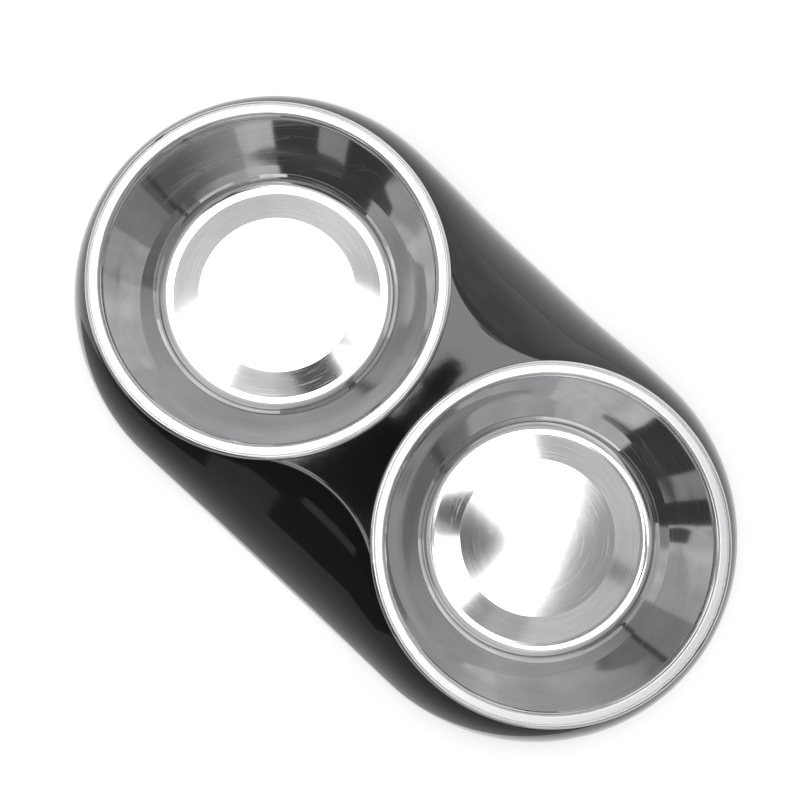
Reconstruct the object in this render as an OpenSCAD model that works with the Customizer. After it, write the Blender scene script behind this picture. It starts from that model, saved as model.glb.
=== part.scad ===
// Double pet bowl: two lift-out steel bowls in one moulded stand on rubber feet.
// X runs along the stand, Z is up, and the origin is on the ground under the middle.

/* [Bowls] */
// Distance between the centres of the two bowls
bowl_spacing = 138; // [132:1:150]
// Diameter of a bowl over its rolled edge
rim_d = 130; // [122:1:134]
// Thickness of the steel sheet
sheet = 0.7; // [0.5:0.1:0.9]
// Height of the rolled edge
roll_d = 2.8; // [2.4:0.1:3.6]
// Width of the flat band inside the rolled edge
band_w = 2.9; // [2.6:0.1:4]
// Rounding between the flat band and the neck
band_edge_r = 0.8; // [0.4:0.1:1.2]
// Depth at which the neck meets the wall
neck_depth = 4.5; // [3.5:0.1:6]
// How far the neck leans in over its depth
neck_run = 0.7; // [0.3:0.1:1.5]
// Depth of the shoulder below the rim
shoulder_depth = 33.6; // [28:0.2:36]
// How far the wall leans in from the neck to the shoulder
wall_run = 11.6; // [6:0.2:14]
// Width of the shoulder
shoulder_w = 2; // [1:0.1:4]
// How far the shoulder falls over its width
shoulder_fall = 0.5; // [0:0.1:1]
// How far the lower wall leans in below the shoulder
lower_run = 3.5; // [2:0.1:6]
// Inside depth of a bowl, from the rim to the ring in its floor
bowl_depth = 40.8; // [36:0.2:44]
// Width of the level ring round the floor
ring_w = 2; // [1:0.1:4]
// Width of the sloping band between the ring and the disc
slope_w = 9.9; // [4:0.1:16]
// Height of the flat disc above the ring
disc_rise = 0.9; // [0.2:0.1:2]

/* [Stand] */
// Height of the deck above the stand's lower edge
stand_h = 45.7; // [42:0.1:60]
// Thickness of the moulded wall
wall = 2.6; // [2:0.1:3.2]
// Width of the deck at its waist
waist_w = 80.5; // [70:0.5:100]
// How far the rolled edge reaches past the deck's rounded ends
rim_overhang = 0.4; // [0.2:0.1:0.5]
// Rounding of the crease between the deck and the skirt
crease_r = 0.7; // [0.4:0.1:0.8]
// How far the base reaches out past the bowls' rims
skirt_reach = 14.6; // [10:0.2:25]
// How far the base's rounded ends are centred inside the bowls' centres
base_end_inset = 4; // [0:0.5:6]
// Fullness of the skirt's curve, where 0.5 is straight
skirt_fullness = 0.8; // [0.6:0.02:0.84]
// Clearance between a bowl's neck and its hole in the deck
bowl_play = 0.6; // [0.3:0.1:0.8]

/* [Feet] */
// Diameter of a foot's pad
foot_d = 14; // [10:0.5:16]
// Thickness of a foot's pad
foot_t = 2.5; // [2:0.1:4]
// How far a pad stands below the stand's lower edge
foot_proud = 1.5; // [0.8:0.1:1.8]
// Chamfer on a pad's lower edge
foot_chamfer = 0.4; // [0.2:0.1:0.8]
// Diameter of a foot's stem
stem_d = 6; // [4:0.5:7]
// Length of a foot's stem
stem_l = 5; // [3:0.5:6]
// Radial clearance of a stem in its socket
stem_play = 0.05; // [0.02:0.01:0.1]
// Free depth above a stem in its socket
stem_end_gap = 0.5; // [0.3:0.1:1]
// Radial clearance of a pad in its recess
pad_play = 0.3; // [0.2:0.1:0.5]
// Distance of each side foot from the middle of the stand
side_foot_x = 54; // [40:1:60]
// Thickness of plastic round and above a foot's recess and socket
boss_wall = 1.6; // [1.2:0.1:2.4]

/* [Hidden] */
// Overshoot of cuts, and facets of round pieces where they are drawn
eps = 0.01;
round_fn = 96;

// Radii and depths of a bowl's inside surface, from the rim to the centre
rim_r = rim_d / 2;
roll_r = roll_d / 2;
band_out_r = rim_r - roll_r;
band_in_r = band_out_r - band_w;
neck_top_r = band_in_r - band_edge_r;
neck_r = neck_top_r - neck_run;
shoulder_r = neck_r - wall_run;
lower_r = shoulder_r - shoulder_w;
lower_depth = shoulder_depth + shoulder_fall;
ring_r = lower_r - lower_run;
slope_r = ring_r - ring_w;
disc_r = slope_r - slope_w;
disc_depth = bowl_depth - disc_rise;
// Angle between the flats of the rolled edge, and the angle at which it ends
roll_step = 15;
roll_end = -142.5;
// Facets of the band's edge and of the lower wall
edge_steps = 4;
lower_steps = 6;
// Share of the lower wall's run that it leans in before it turns to the ring
lower_lean = 0.3;

// Heights above the ground
base_z = foot_proud;
deck_z = base_z + stand_h;
rim_z = deck_z + roll_d;

// Plan outlines of the deck and the base
centre_x = bowl_spacing / 2;
deck_r = rim_r - rim_overhang;
waist_half = waist_w / 2;
waist_y = (centre_x ^ 2 - (deck_r - waist_half) ^ 2) / (2 * (deck_r - waist_half));
waist_r = waist_y - waist_half;
tangent_angle = 180 - atan2(waist_y, centre_x);
tangent_x = centre_x + deck_r * cos(tangent_angle);
base_r = rim_r + skirt_reach;
base_centre_x = centre_x - base_end_inset;
hole_r = neck_top_r + sheet + bowl_play;

// Facets of the stand's skin
end_steps = 15;
flank_steps = 5;
waist_steps = 8;
skirt_steps = 9;
crease_steps = 3;
inner_steps = 8;

// Feet and the bosses that hold them
recess_depth = foot_t - foot_proud;
recess_r = foot_d / 2 + pad_play;
socket_r = stem_d / 2 + stem_play;
socket_depth = recess_depth + stem_l + stem_end_gap;
boss_r = recess_r + boss_wall;
boss_h = socket_depth + boss_wall;

// Share of the run and of the fall that the skirt's curve has covered at v
function run_share(v) = 2 * v * (1 - v) * skirt_fullness + v ^ 2;
function fall_share(v) = 2 * v * (1 - v) * (1 - skirt_fullness) + v ^ 2;

// The v at which the skirt's curve has covered a share of its fall
function v_at_fall(share) =
    let (lean = 1 - skirt_fullness, bend = 2 * skirt_fullness - 1)
    (sqrt(lean ^ 2 + bend * share) - lean) / bend;

// Half of the deck's width at x
function deck_half_w(x) = x > tangent_x
    ? sqrt(deck_r ^ 2 - (x - centre_x) ^ 2)
    : waist_y - sqrt(waist_r ^ 2 - x ^ 2);

// A quarter of the deck's outline, from its end to its waist, drawn in by d
function deck_quarter(d) = concat(
    [for (i = [0 : end_steps - 1])
        let (a = 90 * i / end_steps)
        [centre_x + (deck_r - d) * cos(a), (deck_r - d) * sin(a)]],
    [for (i = [0 : flank_steps - 1])
        let (a = 90 + (tangent_angle - 90) * i / flank_steps)
        [centre_x + (deck_r - d) * cos(a), (deck_r - d) * sin(a)]],
    [for (i = [0 : waist_steps])
        let (a = (180 - tangent_angle) + (tangent_angle - 90) * i / waist_steps)
        [(waist_r + d) * cos(a), waist_y - (waist_r + d) * sin(a)]]);

// The matching quarter of the base's outline, drawn in by d
function base_quarter(d) =
    let (deck = deck_quarter(0))
    [for (i = [0 : len(deck) - 1])
        let (a = 90 * i / end_steps)
        i < end_steps
            ? [base_centre_x + (base_r - d) * cos(a), (base_r - d) * sin(a)]
            : [deck[i][0] * base_centre_x / centre_x, base_r - d]];

// A closed outline from its quarter
function whole(quarter) =
    let (n = len(quarter) - 1)
    concat(
        [for (i = [0 : n - 1]) quarter[i]],
        [for (i = [n : -1 : 1]) [-quarter[i][0], quarter[i][1]]],
        [for (i = [0 : n - 1]) -quarter[i]],
        [for (i = [n : -1 : 1]) [quarter[i][0], -quarter[i][1]]]);

// The point at v along the curve from a point of the deck's outline to one of the base's
function skirt_point(top, bottom, z_top, z_bottom, v) =
    let (p = top + (bottom - top) * run_share(v))
    [p[0], p[1], z_top - (z_top - z_bottom) * fall_share(v)];

// The v at which each column of the skirt has left the crease by crease_r
function crease_v(top, bottom) =
    [for (i = [0 : len(top) - 1])
        let (run = norm(bottom[i] - top[i]) * skirt_fullness, fall = stand_h * (1 - skirt_fullness))
        crease_r / (2 * norm([run, fall]))];

// A ring of points on the rounded crease, at s from the deck to the skirt
function crease_ring(inset, top, bottom, s) =
    let (v = crease_v(top, bottom))
    [for (i = [0 : len(top) - 1])
        let (
            a = [inset[i][0], inset[i][1], deck_z],
            b = [top[i][0], top[i][1], deck_z],
            c = skirt_point(top[i], bottom[i], deck_z, base_z, v[i]))
        (1 - s) ^ 2 * a + 2 * s * (1 - s) * b + s ^ 2 * c];

// Quads between rings of n points, the last joined to the first, as triangles
function ring_faces(rings, n) =
    [for (k = [0 : rings - 1], i = [0 : n - 1])
        let (a = k * n, b = (k + 1) % rings * n, j = (i + 1) % n)
        each [[a + i, a + j, b + j], [a + i, b + j, b + i]]];

// Points along an arc of flats that touch a circle, so that its top, side and foot are flat
function flat_arc(centre, r, from, to) =
    [for (a = [from : to > from ? roll_step : -roll_step : to])
        centre + r / cos(roll_step / 2) * [cos(a), sin(a)]];

// A path moved sideways by d, to the right of its direction, with mitred corners
function mitred(path, d) =
    let (n = len(path) - 1)
    [for (i = [0 : n])
        let (
            before = path[max(i, 1)] - path[max(i, 1) - 1],
            after = path[min(i + 1, n)] - path[min(i + 1, n) - 1],
            a = [before[1], -before[0]] / norm(before),
            b = [after[1], -after[0]] / norm(after))
        path[i] + d * (a + b) / (1 + a * b)];

// The inside surface of a bowl from the rolled edge to the centre, rim at zero
function bowl_path() = concat(
    [[band_out_r, 0]],
    [for (i = [0 : edge_steps])
        let (a = 90 + 90 * i / edge_steps)
        [band_in_r + band_edge_r * cos(a), band_edge_r * (sin(a) - 1)]],
    [[neck_r, -neck_depth], [shoulder_r, -shoulder_depth]],
    [for (i = [0 : lower_steps])
        let (
            s = i / lower_steps,
            bend = [lower_r - lower_run * lower_lean, -bowl_depth])
        (1 - s) ^ 2 * [lower_r, -lower_depth] + 2 * s * (1 - s) * bend + s ^ 2 * [ring_r, -bowl_depth]],
    [[slope_r, -bowl_depth], [disc_r, -disc_depth], [0, -disc_depth]]);

// The skirt: the crease, the outer skin, the lower edge and the inner skin as one closed ring
module skirt() {
    deck = whole(deck_quarter(0));
    deck_inset = whole(deck_quarter(crease_r));
    base = whole(base_quarter(0));
    base_inner = whole(base_quarter(wall));
    start = crease_v(deck, base);
    crease = [for (k = [0 : crease_steps]) crease_ring(deck_inset, deck, base, k / crease_steps)];
    outer = [for (k = [1 : skirt_steps])
        [for (i = [0 : len(deck) - 1])
            skirt_point(deck[i], base[i], deck_z, base_z, start[i] + (1 - start[i]) * k / skirt_steps)]];
    inner = [for (k = [inner_steps : -1 : 0])
        [for (i = [0 : len(deck) - 1])
            skirt_point(deck_inset[i], base_inner[i], deck_z - wall, base_z, k / inner_steps)]];
    rings = concat(crease, outer, inner);
    polyhedron([for (ring = rings) each ring], ring_faces(len(rings), len(deck)));
}

// The deck inside the crease, with the holes for the bowls
module deck_plate() {
    translate([0, 0, deck_z - wall]) linear_extrude(wall) difference() {
        polygon(whole(deck_quarter(crease_r)));
        for (side = [-1, 1])
            translate([side * centre_x, 0]) circle(r = hole_r, $fn = round_fn);
    }
}

// Where the bosses stand: one at each end and two on each side
function foot_places() =
    let (
        v = v_at_fall((stand_h - boss_h) / stand_h),
        back = wall / 2 + boss_r,
        end_top = centre_x + deck_r,
        end_x = end_top + (base_centre_x + base_r - end_top) * run_share(v) - back,
        side_top = deck_half_w(side_foot_x),
        side_y = side_top + (base_r - side_top) * run_share(v) - back)
    [[end_x, 0], [side_foot_x, side_y], [-side_foot_x, side_y],
        [-end_x, 0], [-side_foot_x, -side_y], [side_foot_x, -side_y]];

module at_foot(i) {
    translate([foot_places()[i][0], foot_places()[i][1], 0]) children();
}

module at_bowl(side) {
    translate([side * centre_x, 0, rim_z]) children();
}

module stand() {
    color([0.03, 0.03, 0.03]) difference() {
        union() {
            skirt();
            deck_plate();
            for (i = [0 : 5])
                at_foot(i) translate([0, 0, base_z]) cylinder(h = boss_h, r = boss_r, $fn = round_fn);
        }
        for (i = [0 : 5])
            at_foot(i) translate([0, 0, base_z - eps]) {
                cylinder(h = recess_depth + eps, r = recess_r, $fn = round_fn);
                cylinder(h = socket_depth + eps, r = socket_r, $fn = round_fn);
            }
    }
}

module bowl() {
    path = bowl_path();
    centre = [band_out_r, -roll_r];
    start = 90 - roll_step / 2;
    color([0.75, 0.75, 0.76]) rotate_extrude($fn = round_fn)
        polygon(concat(
            flat_arc(centre, roll_r, start, roll_end),
            flat_arc(centre, roll_r - sheet, roll_end, start),
            mitred(path, -sheet),
            [for (i = [len(path) - 1 : -1 : 0]) path[i]]));
}

module bowl_left() {
    at_bowl(-1) bowl();
}

module bowl_right() {
    at_bowl(1) bowl();
}

module foot(i) {
    pad_r = foot_d / 2;
    color([0.1, 0.1, 0.1]) at_foot(i) rotate_extrude($fn = round_fn)
        polygon([[0, 0], [pad_r - foot_chamfer, 0], [pad_r, foot_chamfer], [pad_r, foot_t],
            [stem_d / 2, foot_t], [stem_d / 2, foot_t + stem_l], [0, foot_t + stem_l]]);
}

stand();
bowl_left();
bowl_right();
foot(0);  // foot_1
foot(1);  // foot_2
foot(2);  // foot_3
foot(3);  // foot_4
foot(4);  // foot_5
foot(5);  // foot_6
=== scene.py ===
import math

import bpy
import numpy as np
from mathutils import Matrix, Vector
from mathutils.geometry import tessellate_polygon


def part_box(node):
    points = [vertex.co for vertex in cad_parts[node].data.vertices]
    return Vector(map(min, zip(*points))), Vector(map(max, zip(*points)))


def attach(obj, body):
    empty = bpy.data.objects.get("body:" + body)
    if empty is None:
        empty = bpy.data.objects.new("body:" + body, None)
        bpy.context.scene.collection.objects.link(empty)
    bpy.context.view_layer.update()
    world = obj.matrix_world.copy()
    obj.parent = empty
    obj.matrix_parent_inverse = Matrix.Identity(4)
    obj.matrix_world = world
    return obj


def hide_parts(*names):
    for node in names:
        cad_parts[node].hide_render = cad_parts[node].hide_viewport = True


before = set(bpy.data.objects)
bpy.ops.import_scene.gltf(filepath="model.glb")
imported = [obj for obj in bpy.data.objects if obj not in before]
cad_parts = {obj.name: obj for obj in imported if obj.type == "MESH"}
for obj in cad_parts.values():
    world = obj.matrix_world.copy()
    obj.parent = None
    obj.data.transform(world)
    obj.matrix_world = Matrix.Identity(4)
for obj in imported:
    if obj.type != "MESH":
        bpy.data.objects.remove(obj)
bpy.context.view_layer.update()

# Lengths are in metres and angles in radians
MM = 0.001
RIGHT_ANGLE = math.pi / 2

# Places that the frame gives
STAND_LOW, STAND_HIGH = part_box("stand")
BOWL_LOW, BOWL_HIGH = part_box("bowl_right")
CENTRE_X = (BOWL_LOW.x + BOWL_HIGH.x) / 2
RIM_R = (BOWL_HIGH.x - BOWL_LOW.x) / 2
RIM_Z = BOWL_HIGH.z
DECK_Z = STAND_HIGH.z
BASE_Z = STAND_LOW.z
BASE_R = STAND_HIGH.y
BASE_CENTRE_X = STAND_HIGH.x - BASE_R
FEET = [name for name in sorted(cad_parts) if name.startswith("foot_")]

# The stand's outline and skin
RIM_OVERHANG = 0.4 * MM  # of a bowl's rim past the end of the deck
WAIST_HALF = 40.25 * MM
WALL = 2.6 * MM
FULLNESS = 0.8  # of the skirt's curve: 0.5 is a straight slope, 1 the fullest
CREASE_R = 0.7 * MM
EDGE_R = 0.7 * MM
LIP_W = 0.35 * MM
LIP_H = 0.045 * MM
HOLE_R = 61.2 * MM
HOLE_EDGE_R = 0.3 * MM
SUPPORT = 0.4 * MM  # from a flat's rounded edge to the ring that keeps its shading flat
DECK_R = RIM_R - RIM_OVERHANG
WAIST_Y = (CENTRE_X ** 2 - (DECK_R - WAIST_HALF) ** 2) / (2 * (DECK_R - WAIST_HALF))
WAIST_R = WAIST_Y - WAIST_HALF
TANGENT = math.pi - math.atan2(WAIST_Y, CENTRE_X)
STAND_H = DECK_Z - BASE_Z
DECK_TOP = DECK_Z - LIP_H

# Steps round a quarter of the stand's outline, and down its skin
END_STEPS = 56
FLANK_STEPS = 14
WAIST_STEPS = 34
CREASE_STEPS = 8
SKIRT_STEPS = 44
EDGE_STEPS = 6
INNER_STEPS = 20
HOLE_STEPS = 240

# Bosses under the stand that hold the feet
BOSS_R = 8.9 * MM
BOSS_H = 8.1 * MM
BOSS_LIFT = 0.05 * MM
BOSS_EDGE_R = 0.2 * MM
RECESS_R = 7.3 * MM
RECESS_DEPTH = 1 * MM
SOCKET_R = 3.05 * MM
SOCKET_DEPTH = 6.5 * MM
BOSS_STEPS = 72

# A bowl's section: radii, and heights from the rim
SHEET = 0.7 * MM
ROLL_R = 1.4 * MM
ROLL_START = math.radians(74)
ROLL_END = math.radians(-142.5)
ROLL_LEAD = (0.4 * MM, -0.06 * MM)  # from the roll's top to a point that the band heads for
GROOVE_WIDTH = 0.5 * MM
GROOVE_DEPTH = 0.2 * MM
GROOVE_LIP_R = 0.2 * MM
GROOVE_FLOOR_R = 0.12 * MM
CROWN = 0.05 * MM
CROWN_R = 18 * MM
BAND_IN_R = 60.7 * MM
BAND_OUT_R = BAND_IN_R + 2.9 * MM
NECK_TOP_R = 59.9 * MM
NECK_TOP_ROUNDING = 0.9 * MM
NECK_LEAD = 0.8 * MM  # from the rim down to where the neck's line has NECK_TOP_R
NECK_R = 59.2 * MM
NECK_Z = -4.5 * MM
NECK_STEPS = ((0.05, -3.3), (0.3, -2.95), (0.35, -1.8), (0.65, -1.6))  # past NECK_R and up, in mm
NECK_STEP_R = 0.12 * MM
WALL_MID_R = 53.94 * MM
WALL_MID_Z = -18.5 * MM
WALL_BEND_R = 150 * MM
SHOULDER_R = 46.7 * MM
SHOULDER_Z = -34.9 * MM
LOWER_R = 45.4 * MM
LOWER_Z = -35.6 * MM
LOWER_ROUNDING = 0.3 * MM
LOWER_FOOT_R = 44.9 * MM
LOWER_FOOT_Z = -39.82 * MM
DISH_R = 43.2 * MM
DISH_ROUNDING = 6.8 * MM
RING_IN_R = 40.1 * MM
FLOOR_Z = -40.8 * MM
DISC_R = 30.2 * MM
DISC_Z = -39.9 * MM
DISC_ROUNDING = 1.2 * MM
PLAIN_ROUNDING = 0.6 * MM
LEAST_ROUNDING = 0.1 * MM
BOWL_STEPS = 288
ROLL_STEPS = 40
ROLL_INNER_STEPS = 28
ARC_STEP = math.radians(7)
PAST = 0.12  # of a rounding's size, from its end to the point that keeps the next flat's shading flat

# A foot: a pad with round ribs under it, and a stem
PAD_T = 2.5 * MM
STEM_R = 3 * MM
RIB_H = 0.3 * MM
RIBS = (1.6 * MM, 3.4 * MM, 5.2 * MM)
RIB_SLOPE = 0.2 * MM
RIB_FLAT_END = 1.1 * MM
RIB_W = 1.3 * MM
RIB_ROUNDING = 0.1 * MM
PAD_EDGE_R = 0.5 * MM
PAD_TOP_ROUNDING = 0.3 * MM
STEM_ROUNDING = 0.6 * MM
FOOT_STEPS = 96

# Colours
WHITE = (1, 1, 1, 1)
BLACK = (0, 0, 0, 1)
PLASTIC_BLACK = (0.0025, 0.0025, 0.003, 1)
DUST_GREY = (0.05, 0.05, 0.052, 1)
RUBBER_BLACK = (0.022, 0.022, 0.023, 1)
RUBBER_WORN = (0.05, 0.049, 0.048, 1)
BRIGHT_STEEL = (0.66, 0.66, 0.67)
PALE_STEEL = (0.7, 0.7, 0.71)

# Turning marks in steel: the noise's level above which they are rough, by the rough share
MARKS_TOP = 0.68
MARKS_SPAN = 0.36
MARKS_SOFTNESS = 0.06

# Broad sweeps in steel
SWEEP_TURNS = 3
SWEEP_COARSER = 12
SWEEP_TONE = 0.93

# The floor, its own light near the object and far from it, and where that changes
FLOOR_HALF = 3
FLOOR_GREY = 0.8
NEAR_GLOW = 0.35
FAR_GLOW = 1.2
NEAR_END = 0.5
FAR_START = 1.5

# The room's tones by the height of a direction, and how they change round the room
ROOM_TONES = (
    (0, 0.95), (0.3, 0.72), (0.6, 0.54), (0.8, 0.57), (0.92, 0.87), (0.955, 0.87), (0.975, 0.5), (1, 0.4))
ROOM_SWING = math.radians(-12)
ROOM_ACROSS = 0.65
ROOM_ONE_SIDE = -0.2
ROOM_CLUTTER = 0.18

# The round light overhead
LAMP_R = 0.459
LAMP_RADIANCE = 3.9
LAMP_PLACE = (-0.131, -0.057, 1.5)

# The cards' mottle, and the height of those under the light
MOTTLE = 0.15
OVERHEAD_Z = 0.5

# The camera, solved from the photograph: its turn is in degrees and its lens in millimetres
CAMERA_PLACE = (7.14 * MM, -31.25 * MM, 497.37 * MM)
CAMERA_TURN = (6.2, -4.519, 42.818)
CAMERA_LENS = 56.6
CAMERA_SHIFT_X = -0.0818
CAMERA_SHIFT_Y = -0.0609
CAMERA_NEAR = 0.01


def arc(centre, radius, start, end, steps):
    """Points along an arc in a plane, without the last."""
    angle = np.linspace(start, end, steps, endpoint=False)
    return np.column_stack((centre[0] + radius * np.cos(angle), centre[1] + radius * np.sin(angle)))


def deck_quarter(inset):
    """A quarter of the deck's outline, from its end to its waist, drawn in by inset."""
    return np.concatenate((
        arc((CENTRE_X, 0), DECK_R - inset, 0, RIGHT_ANGLE, END_STEPS),
        arc((CENTRE_X, 0), DECK_R - inset, RIGHT_ANGLE, TANGENT, FLANK_STEPS),
        arc((0, WAIST_Y), WAIST_R + inset, TANGENT - math.pi, -RIGHT_ANGLE, WAIST_STEPS),
        [(0, WAIST_HALF - inset)]))


def base_quarter(inset):
    """The matching quarter of the base's outline, drawn in by inset."""
    flank_x = deck_quarter(0)[END_STEPS:, 0] * BASE_CENTRE_X / CENTRE_X
    return np.concatenate((
        arc((BASE_CENTRE_X, 0), BASE_R - inset, 0, RIGHT_ANGLE, END_STEPS),
        np.column_stack((flank_x, np.full(len(flank_x), BASE_R - inset)))))


def whole(quarter):
    """A closed outline from its quarter."""
    back = quarter[:0:-1]
    return np.concatenate((quarter[:-1], back * (-1, 1), -quarter[:-1], back * (1, -1)))


def level(outline, z):
    """An outline as a ring of points at one height."""
    return np.column_stack((outline, np.full(len(outline), z)))


def share(v, lean):
    """The share that the skirt's curve has covered at v, for its run or for its fall."""
    return 2 * v * (1 - v) * lean + v ** 2


def v_at_fall(fall):
    """The v at which the skirt's curve has covered a share of its fall."""
    lean = 1 - FULLNESS
    bend = 2 * FULLNESS - 1
    return (math.sqrt(lean ** 2 + bend * fall) - lean) / bend


def skirt_ring(top, bottom, top_z, v):
    """A ring of points on a skirt between two outlines, at v along its curve."""
    v = np.broadcast_to(v, len(top))
    flat = top + (bottom - top) * share(v, FULLNESS)[:, None]
    return np.column_stack((flat, top_z - (top_z - BASE_Z) * share(v, 1 - FULLNESS)))


def rounding(start, corner, end, steps):
    """Rings along a rounded edge from start to end, which are left out."""
    return [(1 - s) ** 2 * start + 2 * s * (1 - s) * corner + s ** 2 * end
            for s in np.linspace(0, 1, steps + 1)[1:-1]]


def linked(name, data):
    """An object with its data, linked into the scene."""
    made = bpy.data.objects.new(name, data)
    bpy.context.scene.collection.objects.link(made)
    return made


class Skin:
    """The points and faces of a mesh, gathered ring by ring."""

    def __init__(self):
        self.points = []
        self.faces = []

    def add(self, ring):
        """Keeps a ring's points and gives their numbers."""
        first = len(self.points)
        self.points.extend(tuple(point) for point in ring)
        return list(range(first, len(self.points)))

    def loft(self, rings):
        """Joins rings by quads and gives the numbers of the first and the last."""
        numbers = [self.add(ring) for ring in rings]
        for upper, lower in zip(numbers, numbers[1:]):
            for i in range(len(upper)):
                j = (i + 1) % len(upper)
                self.faces.append((upper[i], lower[i], lower[j], upper[j]))
        return numbers[0], numbers[-1]

    def plate(self, loops, upward):
        """Fills the flat space between an outline and the holes in it."""
        flat = [number for loop in loops for number in loop]
        corners = tessellate_polygon([[Vector(self.points[n]) for n in loop] for loop in loops])
        for corner in corners:
            a, b, c = (flat[k] for k in corner)
            side = Vector(self.points[b]) - Vector(self.points[a])
            other = Vector(self.points[c]) - Vector(self.points[a])
            flipped = (side.cross(other).z > 0) != upward
            self.faces.append((a, c, b) if flipped else (a, b, c))

    def piece(self, name, body, node):
        """Makes the object, smooth all over, which rides on a body and replaces a node."""
        mesh = bpy.data.meshes.new(name)
        mesh.from_pydata(self.points, [], self.faces)
        mesh.polygons.foreach_set("use_smooth", [True] * len(mesh.polygons))
        mesh.update()
        made = linked(name, mesh)
        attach(made, body)
        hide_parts(node)
        return made


def rounded(corners):
    """A line through corners (across, up, radius), rounded by their radii.

    A point just past each end of a rounding keeps the flats between them flat in the shading."""
    line = [Vector(corners[0][:2])]
    for before, corner, after in zip(corners, corners[1:], corners[2:]):
        here = Vector(corner[:2])
        back = (Vector(before[:2]) - here).normalized()
        ahead = (Vector(after[:2]) - here).normalized()
        turn = math.pi - back.angle(ahead)
        reach = corner[2] * math.tan(turn / 2)
        if reach == 0:
            line.append(here)
            continue
        centre = here + (back + ahead).normalized() * corner[2] / math.cos(turn / 2)
        spoke = here + back * reach - centre
        way = math.copysign(turn, (-back).cross(ahead))
        count = max(3, math.ceil(turn / ARC_STEP))
        past = min(reach, corner[2]) * PAST
        line.append(centre + spoke + back * past)
        line.extend(centre + Matrix.Rotation(way * k / count, 2) @ spoke for k in range(count + 1))
        line.append(here + ahead * (reach + past))
    line.append(Vector(corners[-1][:2]))
    return line


def turned(skin, profile, centre, steps):
    """Turns a closed profile, from the axis out and back to it, about an upright axis."""
    angle = np.linspace(0, 2 * math.pi, steps, endpoint=False)
    rings = [np.column_stack((centre[0] + across * np.cos(angle), centre[1] + across * np.sin(angle),
                              np.full(steps, centre[2] + up)))
             for across, up in profile if across > 0]
    first, last = skin.loft(rings)
    for ring, up, order in ((first, profile[0][1], 1), (last, profile[-1][1], -1)):
        pole = skin.add([(centre[0], centre[1], centre[2] + up)])[0]
        for i in range(steps):
            skin.faces.append((pole, ring[i], ring[(i + 1) % steps])[::order])


def skirt_rings():
    """Rings from the deck over its crease, down the skirt, round its lower edge and up inside."""
    deck = whole(deck_quarter(0))
    deck_inset = whole(deck_quarter(CREASE_R))
    base = whole(base_quarter(0))
    base_inner = whole(base_quarter(WALL))
    run = np.linalg.norm(base - deck, axis=1) * FULLNESS
    start = CREASE_R / (2 * np.hypot(run, STAND_H * (1 - FULLNESS)))
    end = v_at_fall(1 - EDGE_R / STAND_H)
    inner_end = v_at_fall(1 - EDGE_R / (STAND_H - WALL))
    crease_top = level(deck_inset, DECK_Z)
    crease_foot = skirt_ring(deck, base, DECK_Z, start)
    outer_foot = skirt_ring(deck, base, DECK_Z, end)
    lower_outer = level(whole(base_quarter(EDGE_R)), BASE_Z)
    lower_inner = level(whole(base_quarter(WALL - EDGE_R)), BASE_Z)
    inner_foot = skirt_ring(deck_inset, base_inner, DECK_Z - WALL, inner_end)
    steps = np.linspace(0, 1, SKIRT_STEPS + 1)[1:-1]
    inner_steps = np.linspace(1, 0, INNER_STEPS + 1)[1:]
    rings = [level(whole(deck_quarter(CREASE_R + LIP_W + extra)), DECK_TOP) for extra in (SUPPORT, 0)]
    rings += [crease_top]
    rings += rounding(crease_top, level(deck, DECK_Z), crease_foot, CREASE_STEPS)
    rings += [crease_foot]
    rings += [skirt_ring(deck, base, DECK_Z, start + (end - start) * s) for s in steps]
    rings += [outer_foot]
    rings += rounding(outer_foot, level(base, BASE_Z), lower_outer, EDGE_STEPS)
    rings += [lower_outer, lower_inner]
    rings += rounding(lower_inner, level(base_inner, BASE_Z), inner_foot, EDGE_STEPS)
    rings += [inner_foot]
    rings += [skirt_ring(deck_inset, base_inner, DECK_Z - WALL, inner_end * s) for s in inner_steps]
    return rings


def hole_rings(side):
    """Rings from the deck down through one of its holes to its underside."""
    angle = -np.linspace(0, 2 * math.pi, HOLE_STEPS, endpoint=False)

    def ring(radius, z):
        return np.column_stack((side * CENTRE_X + radius * np.cos(angle), radius * np.sin(angle),
                                np.full(HOLE_STEPS, z)))

    bottom = DECK_Z - WALL
    edge = DECK_TOP - HOLE_EDGE_R
    rings = [ring(HOLE_R + HOLE_EDGE_R + SUPPORT, DECK_TOP), ring(HOLE_R + HOLE_EDGE_R, DECK_TOP)]
    rings += rounding(rings[-1], ring(HOLE_R, DECK_TOP), ring(HOLE_R, edge), EDGE_STEPS)
    rings += [ring(HOLE_R, edge), ring(HOLE_R, bottom + HOLE_EDGE_R)]
    rings += rounding(rings[-1], ring(HOLE_R, bottom), ring(HOLE_R + HOLE_EDGE_R, bottom), EDGE_STEPS)
    rings += [ring(HOLE_R + HOLE_EDGE_R, bottom)]
    return rings


def boss_corners():
    """A boss's section, from the top of its socket round to its own top."""
    return [
        (0, SOCKET_DEPTH, 0), (SOCKET_R, SOCKET_DEPTH, BOSS_EDGE_R), (SOCKET_R, RECESS_DEPTH, BOSS_EDGE_R),
        (RECESS_R, RECESS_DEPTH, BOSS_EDGE_R), (RECESS_R, BOSS_LIFT, BOSS_EDGE_R),
        (BOSS_R, BOSS_LIFT, BOSS_EDGE_R), (BOSS_R, BOSS_H, 2 * BOSS_EDGE_R), (0, BOSS_H, 0)]


def foot_centre(foot):
    """The middle of a foot's recess, in the plane of the stand's lower edge."""
    low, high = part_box(foot)
    return ((low.x + high.x) / 2, (low.y + high.y) / 2, BASE_Z)


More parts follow.
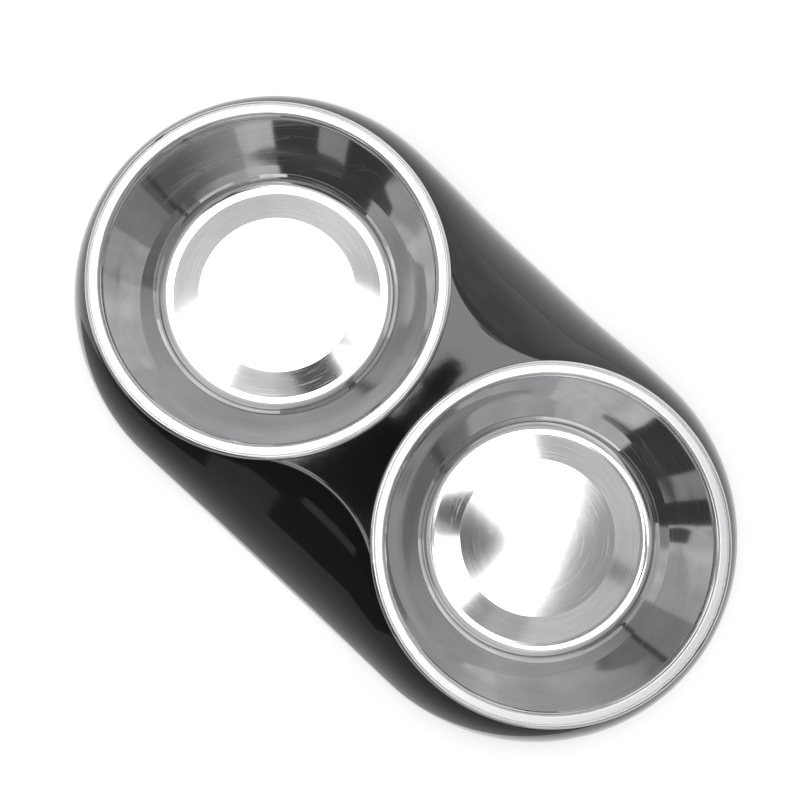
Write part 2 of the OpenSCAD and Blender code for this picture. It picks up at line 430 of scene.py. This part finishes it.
def make_stand():
    """The moulded shell: skirt, deck with two holes, and bosses."""
    skin = Skin()
    tops, unders = zip(*[skin.loft(rings) for rings in (skirt_rings(), hole_rings(-1), hole_rings(1))])
    skin.plate(tops, True)
    skin.plate(unders, False)
    for foot in FEET:
        turned(skin, rounded(boss_corners()), foot_centre(foot), BOSS_STEPS)
    return skin.piece("stand_shell", "base", "stand")


def outside(corners):
    """The corners of a sheet's outer side, from the corners of its inner side."""
    points = [Vector(corner[:2]) for corner in corners]
    moved = []
    for i, point in enumerate(points):
        ways = [(points[j + 1] - points[j]).normalized() for j in (i - 1, i) if 0 <= j < len(points) - 1]
        sides = [Vector((way.y, -way.x)) for way in ways]
        miter = (sides[0] + sides[-1]).normalized()
        grown = SHEET if ways[0].cross(ways[-1]) > 0 else -SHEET
        radius = max(corners[i][2] + grown, LEAST_ROUNDING) if corners[i][2] else 0
        moved.append((*(point + miter * SHEET / miter.dot(sides[0])), radius))
    return moved


def inner_corners():
    """The corners of a bowl's inner side from the centre of its disc to the top of its neck."""
    neck_lean = (NECK_TOP_R - NECK_R) / (-NECK_Z - NECK_LEAD)
    return [
        (0, DISC_Z, 0), (DISC_R, DISC_Z, DISC_ROUNDING), (RING_IN_R, FLOOR_Z, PLAIN_ROUNDING),
        (DISH_R, FLOOR_Z, DISH_ROUNDING), (LOWER_FOOT_R, LOWER_FOOT_Z, PLAIN_ROUNDING),
        (LOWER_R, LOWER_Z, LOWER_ROUNDING), (SHOULDER_R, SHOULDER_Z, PLAIN_ROUNDING),
        (WALL_MID_R, WALL_MID_Z, WALL_BEND_R), (NECK_R, NECK_Z, PLAIN_ROUNDING),
        (NECK_TOP_R + NECK_LEAD * neck_lean, 0, NECK_TOP_ROUNDING)]


def bowl_profile():
    """A bowl's closed section from the centre of its disc out over its rim and back underneath."""
    curl = (BAND_OUT_R, -ROLL_R)
    groove_r = BAND_OUT_R - GROOVE_WIDTH
    inside = inner_corners()
    neck_steps = [(NECK_R + across * MM, up * MM, NECK_STEP_R) for across, up in NECK_STEPS]
    top = [
        ((BAND_IN_R + groove_r) / 2, CROWN, CROWN_R),
        (groove_r, 0, GROOVE_LIP_R), (groove_r + GROOVE_WIDTH / 2, -GROOVE_DEPTH, GROOVE_FLOOR_R),
        (BAND_OUT_R, 0, GROOVE_LIP_R), (BAND_OUT_R + ROLL_LEAD[0], ROLL_LEAD[1], 0)]
    line = rounded([*inside[:-1], *neck_steps, inside[-1], *top])[:-1]
    outer = arc(curl, ROLL_R, ROLL_START, ROLL_END, ROLL_STEPS)
    inner = arc(curl, ROLL_R - SHEET, ROLL_END, RIGHT_ANGLE, ROLL_INNER_STEPS)
    under = [(BAND_OUT_R, -SHEET, 0), *outside([*inside, (BAND_OUT_R, 0, 0)])[-2::-1]]
    return [tuple(point) for point in [*line, *outer, *inner, *rounded(under)[1:]]]


def make_bowl(name, side):
    """A pressed steel bowl, its mesh centred on its own axis at the rim's height."""
    skin = Skin()
    profile = [(max(across, 0), min(up, 0)) for across, up in bowl_profile()]
    turned(skin, profile, (0, 0, 0), BOWL_STEPS)
    made = skin.piece(name + "_steel", "left_bowl" if side < 0 else "right_bowl", name)
    made.matrix_world = Matrix.Translation((side * CENTRE_X, 0, RIM_Z))
    bpy.context.view_layer.update()
    return made


def make_foot(name):
    """A push-in rubber foot: a grooved pad and a stem."""
    low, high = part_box(name)
    pad_r = (high.x - low.x) / 2
    height = high.z - low.z
    corners = [(0, RIB_H, 0)]
    for across in RIBS:
        corners += [(across, RIB_H, RIB_ROUNDING), (across + RIB_SLOPE, 0, RIB_ROUNDING),
                    (across + RIB_FLAT_END, 0, RIB_ROUNDING), (across + RIB_W, RIB_H, RIB_ROUNDING)]
    corners = corners[:-1] + [
        (pad_r, 0, PAD_EDGE_R), (pad_r, PAD_T, PAD_TOP_ROUNDING), (STEM_R, PAD_T, PAD_TOP_ROUNDING),
        (STEM_R, height, STEM_ROUNDING), (0, height, 0)]
    skin = Skin()
    turned(skin, rounded(corners), ((low.x + high.x) / 2, (low.y + high.y) / 2, low.z), FOOT_STEPS)
    return skin.piece(name + "_rubber", "base", name)


def add(tree, kind, inputs=None, **settings):
    """A node of that kind. Its inputs are values, or the sockets that feed it."""
    node = tree.nodes.new(kind)
    for name, value in settings.items():
        setattr(node, name, value)
    for key, value in (inputs or {}).items():
        if isinstance(value, bpy.types.NodeSocket):
            tree.links.new(value, node.inputs[key])
        else:
            node.inputs[key].default_value = value
    return node


def finish(name, **values):
    """A material with its shader's plain values set. Gives its tree and its shader too."""
    made = bpy.data.materials.new(name)
    made.use_nodes = True
    shader = made.node_tree.nodes["Principled BSDF"]
    for key, value in values.items():
        shader.inputs[key.replace("_", " ")].default_value = value
    return made, made.node_tree, shader


def spread(tree, value, low, high, from_low=0.3, from_high=0.7):
    """A span of values spread between low and high: a noise's middle part, unless it is given."""
    return add(tree, "ShaderNodeMapRange", {
        "Value": value, "From Min": from_low, "From Max": from_high,
        "To Min": low, "To Max": high}).outputs["Result"]


def own_place(tree):
    """Where a point is in its object's own frame."""
    return add(tree, "ShaderNodeTexCoord").outputs["Object"]


def noise(tree, place, scale, detail, **others):
    """A noise over places."""
    return add(tree, "ShaderNodeTexNoise", {
        "Vector": place, "Scale": scale, "Detail": detail, **others}).outputs["Fac"]


def maths(tree, operation, *values):
    """A number worked out from numbers or sockets."""
    return add(tree, "ShaderNodeMath", dict(enumerate(values)), operation=operation).outputs[0]


def vectors(tree, operation, *values):
    """A vector, or for a length a number, worked out from vectors or sockets."""
    node = add(tree, "ShaderNodeVectorMath", dict(enumerate(values)), operation=operation)
    return node.outputs["Value" if operation == "LENGTH" else "Vector"]


def blend(tree, part, first, second):
    """A colour between two colours."""
    return add(tree, "ShaderNodeMix", {
        "Factor": part, "A": first, "B": second}, data_type="RGBA").outputs["Result"]


def surface(tree, shader, colour, roughness, height, strength, distance):
    """Feeds a shader with its colour, its roughness and a bump."""
    tree.links.new(colour, shader.inputs["Base Color"])
    tree.links.new(roughness, shader.inputs["Roughness"])
    bump = add(tree, "ShaderNodeBump", {"Height": height, "Strength": strength, "Distance": distance})
    tree.links.new(bump.outputs["Normal"], shader.inputs["Normal"])


def gloss_plastic():
    """Glossy black moulded plastic with faint orange peel, hair scratches and a little dust."""
    made, tree, shader = finish("gloss_plastic", IOR=1.58)
    place = own_place(tree)
    cloud = noise(tree, place, scale=30, detail=4)
    peel = noise(tree, place, scale=260, detail=2)
    speck = noise(tree, place, scale=2600, detail=1)
    dust = spread(tree, speck, 0, 1, from_low=0.74, from_high=0.82)
    colour = blend(tree, dust, PLASTIC_BLACK, DUST_GREY)
    scratch_place = add(tree, "ShaderNodeMapping", {
        "Vector": place, "Rotation": (0, 0, 0.5), "Scale": (30, 1500, 300)}).outputs["Vector"]
    scratch = noise(tree, scratch_place, scale=1, detail=2)
    lines = spread(tree, scratch, 0, 1, from_low=0.72, from_high=0.8)
    height = maths(tree, "MULTIPLY_ADD", lines, -0.004, peel)
    surface(tree, shader, colour, spread(tree, cloud, 0.05, 0.11), height, strength=0.08, distance=0.1 * MM)
    return made


def polar(tree, turns, rings):
    """Texture places that run round an upright axis: slow along the turn and fine across it."""
    place = own_place(tree)
    flat = vectors(tree, "MULTIPLY", place, (1, 1, 0))
    across = vectors(tree, "LENGTH", flat)
    way = vectors(tree, "NORMALIZE", flat)
    slow = add(tree, "ShaderNodeVectorMath", {0: way, "Scale": turns}, operation="SCALE").outputs[0]
    up = add(tree, "ShaderNodeSeparateXYZ", {0: place}).outputs["Z"]
    fine = maths(tree, "MULTIPLY", maths(tree, "SUBTRACT", across, up), rings)
    lift = add(tree, "ShaderNodeCombineXYZ", {"Z": fine}).outputs[0]
    return vectors(tree, "ADD", slow, lift)


def steel(name, colour, smooth, rough, rough_share, anisotropic, groove_depth, turns, ring_scale, ring_tone):
    """Pressed and spun stainless steel: turning marks round the axis, a share of them rough."""
    made, tree, shader = finish(name, Metallic=1.0, Anisotropic=anisotropic)
    marks = noise(tree, polar(tree, turns, ring_scale), scale=1, detail=5, Roughness=0.65)
    sweep = noise(tree, polar(tree, SWEEP_TURNS, ring_scale / SWEEP_COARSER), scale=1, detail=3)
    darker = [channel * SWEEP_TONE for channel in colour]
    tint = blend(tree, spread(tree, sweep, 0, 1), (*darker, 1), (*colour, 1))
    ringed = blend(tree, spread(tree, marks, 1 - ring_tone, 1), BLACK, tint)
    edge = MARKS_TOP - MARKS_SPAN * rough_share
    roughness = spread(tree, marks, smooth, rough, edge, edge + MARKS_SOFTNESS)
    surface(tree, shader, ringed, roughness, marks, strength=1, distance=groove_depth)
    if anisotropic:
        tangent = add(tree, "ShaderNodeTangent", direction_type="RADIAL", axis="Z")
        tree.links.new(tangent.outputs["Tangent"], shader.inputs["Tangent"])
    return made


def rubber():
    """Matt black rubber with fine grain and rubbed paler patches."""
    made, tree, shader = finish("black_rubber", IOR=1.5)
    place = own_place(tree)
    grain = noise(tree, place, scale=1800, detail=3)
    wear = noise(tree, place, scale=220, detail=3)
    colour = blend(tree, spread(tree, wear, 0, 1), RUBBER_BLACK, RUBBER_WORN)
    surface(tree, shader, colour, spread(tree, wear, 0.55, 0.75), grain, strength=0.4, distance=0.05 * MM)
    return made


def dress_bowl(made, polished, brushed, satin):
    """Brushed steel on the floor, satin steel on the rim's band, polished steel everywhere else."""
    finishes = (polished, brushed, satin)
    for each in finishes:
        made.data.materials.append(each)
    for face in made.data.polygons:
        across = math.hypot(face.center.x, face.center.y)
        if face.normal.z < 0:
            continue
        if across < LOWER_FOOT_R:
            face.material_index = finishes.index(brushed)
        elif NECK_TOP_R < across < BAND_OUT_R:
            face.material_index = finishes.index(satin)


def card(name, corners, tone):
    """A sheet of the studio that shows only in reflections."""
    made, tree, _ = finish(name + "_card")
    mottle = noise(tree, own_place(tree), scale=6, detail=2)
    glow = add(tree, "ShaderNodeEmission", {
        "Color": WHITE, "Strength": spread(tree, mottle, (1 - MOTTLE) * tone, (1 + MOTTLE) * tone)})
    tree.links.new(glow.outputs[0], tree.nodes["Material Output"].inputs["Surface"])
    mesh = bpy.data.meshes.new(name)
    mesh.from_pydata(corners, [], [tuple(range(len(corners)))])
    sheet = linked(name, mesh)
    sheet.data.materials.append(made)
    for way in ("camera", "diffuse", "shadow", "transmission", "volume_scatter"):
        setattr(sheet, "visible_" + way, False)


def floor():
    """A white floor that keeps the object's shadow. Its own light shows to the camera and in gloss."""
    made, tree, shader = finish("white_floor", Roughness=0.9)
    shader.inputs["Base Color"].default_value = (FLOOR_GREY, FLOOR_GREY, FLOOR_GREY, 1)
    mesh = bpy.data.meshes.new("floor")
    corners = [(x * FLOOR_HALF, y * FLOOR_HALF, 0) for x, y in ((-1, -1), (1, -1), (1, 1), (-1, 1))]
    mesh.from_pydata(corners, [], [(0, 1, 2, 3)])
    ground = linked("floor", mesh)
    ground.data.materials.append(made)
    away = vectors(tree, "LENGTH", own_place(tree))
    path = add(tree, "ShaderNodeLightPath").outputs
    strength = add(tree, "ShaderNodeMix", {
        "Factor": path["Is Camera Ray"], "A": NEAR_GLOW,
        "B": spread(tree, away, NEAR_GLOW, FAR_GLOW, NEAR_END, FAR_START)}).outputs["Result"]
    glow = add(tree, "ShaderNodeEmission", {"Color": WHITE, "Strength": strength})
    both = add(tree, "ShaderNodeAddShader", {0: shader.outputs[0], 1: glow.outputs[0]})
    seen = maths(tree, "ADD", path["Is Camera Ray"], path["Is Glossy Ray"])
    mix = add(tree, "ShaderNodeMixShader", {0: seen, 1: shader.outputs[0], 2: both.outputs[0]})
    tree.links.new(mix.outputs[0], tree.nodes["Material Output"].inputs["Surface"])


def room_tone(tree):
    """The room's tone in each direction: from its height, its side, and a little clutter."""
    way = add(tree, "ShaderNodeTexCoord").outputs["Generated"]
    swung = add(tree, "ShaderNodeMapping", {"Vector": way, "Rotation": (0, 0, ROOM_SWING)}).outputs[0]
    sides = add(tree, "ShaderNodeSeparateXYZ", {0: swung}).outputs
    ramp = add(tree, "ShaderNodeValToRGB", {0: sides["Z"]})
    stops = ramp.color_ramp.elements
    while len(stops) < len(ROOM_TONES):
        stops.new(0.5)
    for stop, (at, tone) in zip(stops, ROOM_TONES):
        stop.position = at
        stop.color = (tone, tone, tone, 1)
    x_squared, y_squared = (maths(tree, "POWER", sides[axis], 2) for axis in "XY")
    across = maths(tree, "SUBTRACT", y_squared, x_squared)
    turned_tone = maths(tree, "MULTIPLY_ADD", across, ROOM_ACROSS, 1.0)
    side_tone = maths(tree, "MULTIPLY_ADD", sides["X"], ROOM_ONE_SIDE, turned_tone)
    smooth_tone = maths(tree, "MULTIPLY", ramp.outputs["Color"], side_tone)
    clutter = spread(tree, noise(tree, way, scale=2.2, detail=3), 1 - ROOM_CLUTTER, 1 + ROOM_CLUTTER)
    return maths(tree, "MULTIPLY", smooth_tone, clutter)


def room():
    """The light of a pale room, which is plain white to the camera."""
    world = bpy.data.worlds.new("room")
    world.use_nodes = True
    bpy.context.scene.world = world
    tree = world.node_tree
    seen = add(tree, "ShaderNodeLightPath").outputs["Is Camera Ray"]
    strength = add(tree, "ShaderNodeMix", {"Factor": seen, "A": room_tone(tree), "B": 1.0})
    background = tree.nodes["Background"]
    background.inputs["Color"].default_value = WHITE
    tree.links.new(strength.outputs["Result"], background.inputs["Strength"])


def upright(along, *shape):
    """The corners of a card that stands across the frame's depth, from (across, up) pairs."""
    return [(across, along, up) for across, up in shape]


def end_on(across, *shape):
    """The corners of a card that stands across the frame's length, from (along, up) pairs."""
    return [(across, along, up) for along, up in shape]


def overhead(*shape):
    """The corners of a card that lies under the light, from (across, along) pairs."""
    return [(across, along, OVERHEAD_Z) for across, along in shape]


# What reflections show of the room: a name, a tone, and the shapes that have them
CARDS = (
    ("dark_side", 0.085, (
        upright(-0.26, (-0.056, 0.175), (-0.131, 0.175), (-0.131, 0.3), (-0.09, 0.5), (-0.056, 0.5)),
        [(-0.131, -0.26, 0.175), (-0.212, -0.429, 0.27), (-0.212, -0.429, 0.5), (-0.131, -0.26, 0.3)],
        upright(-0.26, (0.008, 0.175), (0.134, 0.175), (0.134, 0.25), (0.05, 0.5), (0.008, 0.5)),
        upright(-0.26, (-0.056, 0.222), (0.008, 0.222), (0.008, 0.5), (-0.056, 0.5)))),
    ("dark_foot", 0.12, (
        upright(-0.26, (-0.131, 0.03), (0.005, 0.03), (0.02, 0.15), (0.134, 0.175), (0.134, 0.184),
                (-0.131, 0.184)),
        [(0.13, -0.26, 0.172), (0.161, -0.164, 0.15), (0.161, -0.164, 0.158), (0.13, -0.26, 0.2)],
        upright(-0.262, (-0.131, 0.17), (-0.205, 0.205), (-0.205, 0.24), (-0.15, 0.24)))),
    ("dim_window", 0.5, (
        upright(-0.262, (-0.056, 0.184), (0.008, 0.184), (0.008, 0.222), (-0.056, 0.222)),)),
    ("dim_side", 0.3, (
        upright(-0.26, (-0.24, 0), (-0.131, 0), (-0.131, 0.15), (-0.24, 0.15)),)),
    ("pole", 0.1, (
        end_on(-0.59, (0.084, 0), (0.116, 0), (0.116, 0.9), (0.084, 0.9)),
        end_on(0.59, (0.084, 0), (0.116, 0), (0.116, 0.9), (0.084, 0.9)))),
    ("dim_end", 0.3, (
        end_on(-0.6, (0.1, 0.26), (0.45, 0.26), (0.45, 0.5), (0.1, 0.5)),
        end_on(0.6, (0.05, 0.5), (0.39, 0.59), (0.95, 0.9), (0.95, 1.25), (0.05, 0.9)))),
    ("pale_end", 0.75, (
        end_on(-0.6, (-0.95, 0.15), (-0.12, 0.15), (-0.12, 0.5), (-0.95, 0.5)),
        end_on(0.6, (0.45, 0.25), (0.9, 0.25), (0.9, 0.86), (0.45, 0.61)),
        end_on(1, (-0.9, 0.88), (-0.05, 0.88), (-0.05, 1.4), (-0.9, 1.4)))),
    ("grey_end", 0.42, (
        end_on(0.6, (0.16, 0.25), (0.45, 0.25), (0.45, 0.61), (0.39, 0.58), (0.16, 0.51)),)),
    ("bright_end", 1.0, (
        end_on(-0.6, (-0.95, 0.5), (-0.12, 0.5), (-0.12, 0.75), (-0.95, 0.75)),
        upright(0.9, (-0.1, 0.3), (0.6, 0.3), (0.6, 0.86), (-0.1, 0.86)),
        upright(-0.75, (0.15, 0.5), (1, 0.5), (1, 1.3), (0.15, 1.3)))),
    ("dark_overhead", 0.05, (
        overhead((-0.045, -0.06), (0.055, -0.06), (0.05, -0.02), (0.02, 0.02), (-0.02, 0.02),
                 (-0.032, -0.02)),
        overhead((0.004, -0.06), (0.002, -0.08), (0.012, -0.082), (0.03, -0.06)),
        overhead((0.055, -0.06), (0.05, -0.02), (0.065, -0.032), (0.11, -0.05), (0.12, -0.09),
                 (0.075, -0.085)),
        overhead((0.06, -0.03), (0.121, -0.03), (0.121, 0.01), (0.112, 0.02), (0.06, 0.02)),
        overhead((-0.012, 0.02), (0.006, 0.02), (0.006, 0.05), (-0.014, 0.05)),
        overhead((-0.018, 0.05), (0.004, 0.05), (0.002, 0.08), (-0.014, 0.08)))),
    ("grey_overhead", 0.38, (
        overhead((0.006, 0.045), (0.018, 0.045), (0.018, 0.07), (0.006, 0.07)),
        overhead((0.112, -0.15), (0.16, -0.15), (0.16, -0.085), (0.112, -0.085)),
        overhead((0.262, 0.07), (0.3, 0.07), (0.3, 0.105), (0.262, 0.105)))),
    ("pale_overhead", 0.62, (
        overhead((-0.06, -0.088), (0.002, -0.088), (0.004, -0.06), (-0.045, -0.06)),
        overhead((0.16, -0.15), (0.225, -0.15), (0.225, -0.085), (0.16, -0.085)))),
    ("soft_overhead", 0.85, (
        overhead((-0.06, -0.088), (-0.07, -0.075), (-0.118, -0.105), (-0.1, -0.15), (-0.03, -0.11),
                 (-0.01, -0.088)),)),
    ("low_wall", 0.4, (
        upright(-0.7, (-0.5, 0), (0.7, 0), (0.7, 0.45), (-0.5, 0.45)),)),
    # Painted shade: a dim sheet on the floor along the stand's -y side, seen only in reflections, stands in
    # for the floor in shadow there
    ("painted_floor_shade", 0.4, (
        [(-0.35, -0.7, 0.002), (0.7, -0.7, 0.002), (0.3, -0.081, 0.002), (-0.14, -0.081, 0.002)],)))


def round_light():
    """A round light overhead, as strong as its radiance and size make it."""
    data = bpy.data.lights.new("round_light", "AREA")
    data.shape = "DISK"
    data.size = 2 * LAMP_R
    data.energy = LAMP_RADIANCE * (math.pi * LAMP_R) ** 2
    linked("round_light", data).location = LAMP_PLACE


def photo_camera():
    """The camera of the photograph. Its shifts say that the photograph was cropped off centre."""
    camera = linked("camera", bpy.data.cameras.new("camera"))
    camera.location = CAMERA_PLACE
    camera.rotation_euler = [math.radians(angle) for angle in CAMERA_TURN]
    camera.data.lens = CAMERA_LENS
    camera.data.shift_x = CAMERA_SHIFT_X
    camera.data.shift_y = CAMERA_SHIFT_Y
    camera.data.clip_start = CAMERA_NEAR
    bpy.context.scene.camera = camera


def studio():
    """White floor, pale room, a round light overhead, what reflections show, and the camera."""
    floor()
    room()
    round_light()
    for name, tone, shapes in CARDS:
        for corners in shapes:
            card(name, corners, tone)
    photo_camera()
    bpy.context.scene.view_settings.view_transform = "Standard"


plastic = gloss_plastic()
stand = make_stand()
stand.data.materials.append(plastic)

polished = steel(
    "polished_steel", BRIGHT_STEEL, smooth=0.03, rough=0.1, rough_share=0.2, anisotropic=0.0,
    groove_depth=0.0002 * MM, turns=1.2, ring_scale=2500, ring_tone=0.02)
brushed = steel(
    "brushed_steel", BRIGHT_STEEL, smooth=0.09, rough=0.4, rough_share=0.14, anisotropic=0.4,
    groove_depth=0.001 * MM, turns=1.2, ring_scale=4000, ring_tone=0.14)
satin = steel(
    "satin_steel", PALE_STEEL, smooth=0.32, rough=0.4, rough_share=0.5, anisotropic=0.0,
    groove_depth=0.002 * MM, turns=160, ring_scale=2600, ring_tone=0.1)
for name, side in (("bowl_left", -1), ("bowl_right", 1)):
    bowl = make_bowl(name, side)
    dress_bowl(bowl, polished, brushed, satin)

foot_finish = rubber()
for name in FEET:
    foot = make_foot(name)
    foot.data.materials.append(foot_finish)

studio()
